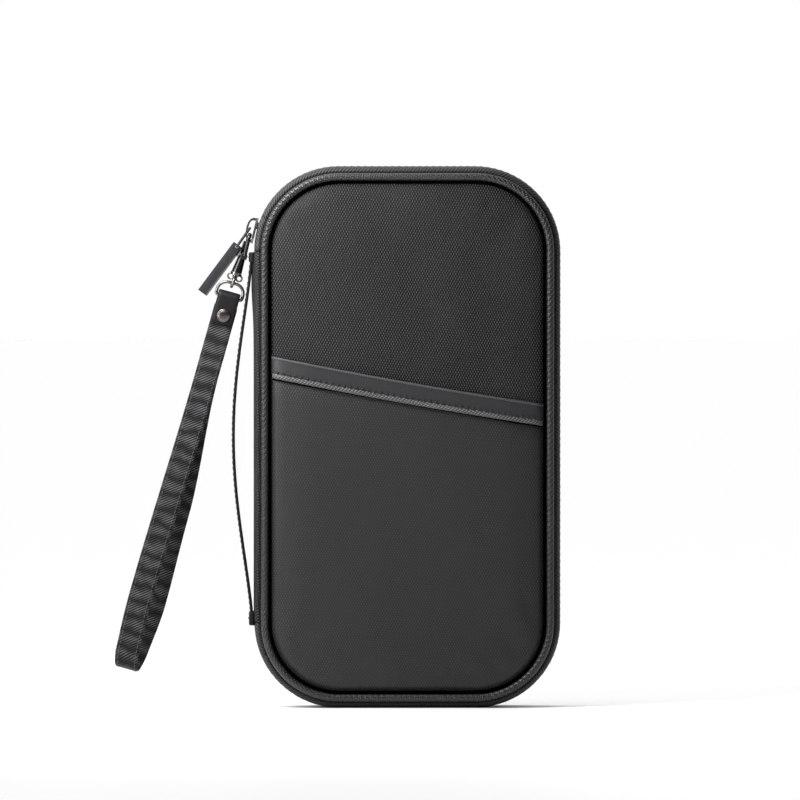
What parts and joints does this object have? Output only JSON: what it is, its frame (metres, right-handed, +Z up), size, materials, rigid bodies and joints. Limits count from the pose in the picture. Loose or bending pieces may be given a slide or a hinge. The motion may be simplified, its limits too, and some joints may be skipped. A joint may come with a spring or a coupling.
{
  "type": "travel document organizer",
  "caption": "Stiff zip-around cloth travel wallet standing on its short edge, with a slanted front slip pocket, piped covers, a spine carry handle and a clipped wrist strap.",
  "frame": {"origin": "middle of the flat face under the case that it stands on, in the middle of the case's depth", "axes": "+X to the right seen from the front, +Z up along the case's long side, -Y out of the front cover with the slanted pocket"},
  "size_m": [0.1901, 0.0256, 0.23],
  "materials": {
    "cover_cloth": "matt ballistic weave",
    "trim_cloth": "fine twill",
    "lining_cloth": "smooth lining cloth",
    "board": "grey stiffener board",
    "zip_teeth": "nylon coil",
    "gunmetal": "gunmetal plating",
    "black_metal": "black plating",
    "bar_paint": "satin dark grey",
    "strap_leather": "smooth coated leather",
    "strap_cloth": "diagonal twill"
  },
  "bodies": {
    "back_half": {"back_panel": "cover_cloth", "back_board": "board", "back_lining": "lining_cloth", "back_piping": "trim_cloth", "back_gusset": "trim_cloth", "back_zip_coil": "zip_teeth", "passport_pocket": "lining_cloth", "ticket_pocket": "lining_cloth", "boarding_pocket": "lining_cloth"},
    "spine": {"spine_panel": "cover_cloth", "side_handle": "strap_leather", "handle_end_upper": "strap_leather", "handle_end_lower": "strap_leather", "zip_end_upper": "trim_cloth", "zip_end_lower": "trim_cloth", "zip_top_stop": "gunmetal", "zip_bottom_stop": "gunmetal"},
    "front_half": {"front_panel": "cover_cloth", "front_pocket": "cover_cloth", "pocket_band": "trim_cloth", "front_board": "board", "front_lining": "lining_cloth", "front_piping": "trim_cloth", "front_gusset": "trim_cloth", "front_zip_coil": "zip_teeth", "card_slot_1": "lining_cloth", "card_slot_2": "lining_cloth", "card_slot_3": "lining_cloth", "card_slot_4": "lining_cloth", "note_pocket": "lining_cloth"},
    "zip_slider": {"slider_body": "gunmetal", "slider_bridge": "gunmetal"},
    "link": {"puller_link": "black_metal"},
    "puller": {"puller_bar": "bar_paint"},
    "clasp": {"clasp_body": "black_metal", "gate_pin": "gunmetal"},
    "gate": {"clasp_gate": "black_metal"},
    "swivel": {"swivel_eye": "gunmetal"},
    "ring": {"d_ring": "gunmetal"},
    "wrist_strap": {"strap_tab": "strap_leather", "wrist_loop": "strap_cloth", "rivet_cap": "gunmetal", "rivet_base": "gunmetal"}
  },
  "joints": [
    {"name": "spine_fold", "type": "hinge", "parent": "back_half", "child": "spine", "pos_m": [-0.0625, 0.011, 0.115], "axis": [0, 0, -1], "range_deg": [0, 90]},
    {"name": "cover_fold", "type": "hinge", "parent": "spine", "child": "front_half", "pos_m": [-0.0625, -0.011, 0.115], "axis": [0, 0, -1], "range_deg": [0, 90]},
    {"name": "slider_travel", "type": "hinge", "parent": "spine", "child": "zip_slider", "pos_m": [-0.029, -0.0015, 0.194], "axis": [0, -1, 0], "range_deg": [-76, 0]},
    {"name": "clasp_swing", "type": "hinge", "parent": "zip_slider", "child": "clasp", "pos_m": [-0.06689, -0.0015, 0.2009], "axis": [0, 1, 0], "range_deg": [0, 60]},
    {"name": "link_swing", "type": "hinge", "parent": "zip_slider", "child": "link", "pos_m": [-0.06686, -0.0015, 0.20378], "axis": [0, 1, 0], "range_deg": [0, 60]},
    {"name": "puller_swing", "type": "hinge", "parent": "link", "child": "puller", "pos_m": [-0.07238, -0.0015, 0.19592], "axis": [0, 1, 0], "range_deg": [0, 70]},
    {"name": "gate_press", "type": "hinge", "parent": "clasp", "child": "gate", "pos_m": [-0.07088, 0.00261, 0.19224], "axis": [-0.922, -0.2079, 0.3265], "range_deg": [0, 22], "stiffness_Nm_per_rad": 0.003, "springref_deg": -2.86},
    {"name": "swivel_turn", "type": "hinge", "parent": "clasp", "child": "swivel", "pos_m": [-0.07415, -0.0015, 0.1804], "axis": [0.3338, 0, 0.9426], "continuous": true},
    {"name": "ring_tilt", "type": "hinge", "parent": "swivel", "child": "ring", "pos_m": [-0.07415, -0.0015, 0.1804], "axis": [0.9598, 0, -0.2807], "range_deg": [-20, 20]},
    {"name": "strap_swing", "type": "hinge", "parent": "ring", "child": "wrist_strap", "pos_m": [-0.07592, -0.0015, 0.17435], "axis": [0.9627, 0, -0.2706], "range_deg": [-40, 40]}
  ],
  "couplings": [
    {"joint": "cover_fold", "follows": "spine_fold", "ratio": 1},
    {"joint": "link_swing", "follows": "clasp_swing", "ratio": 1}
  ]
}
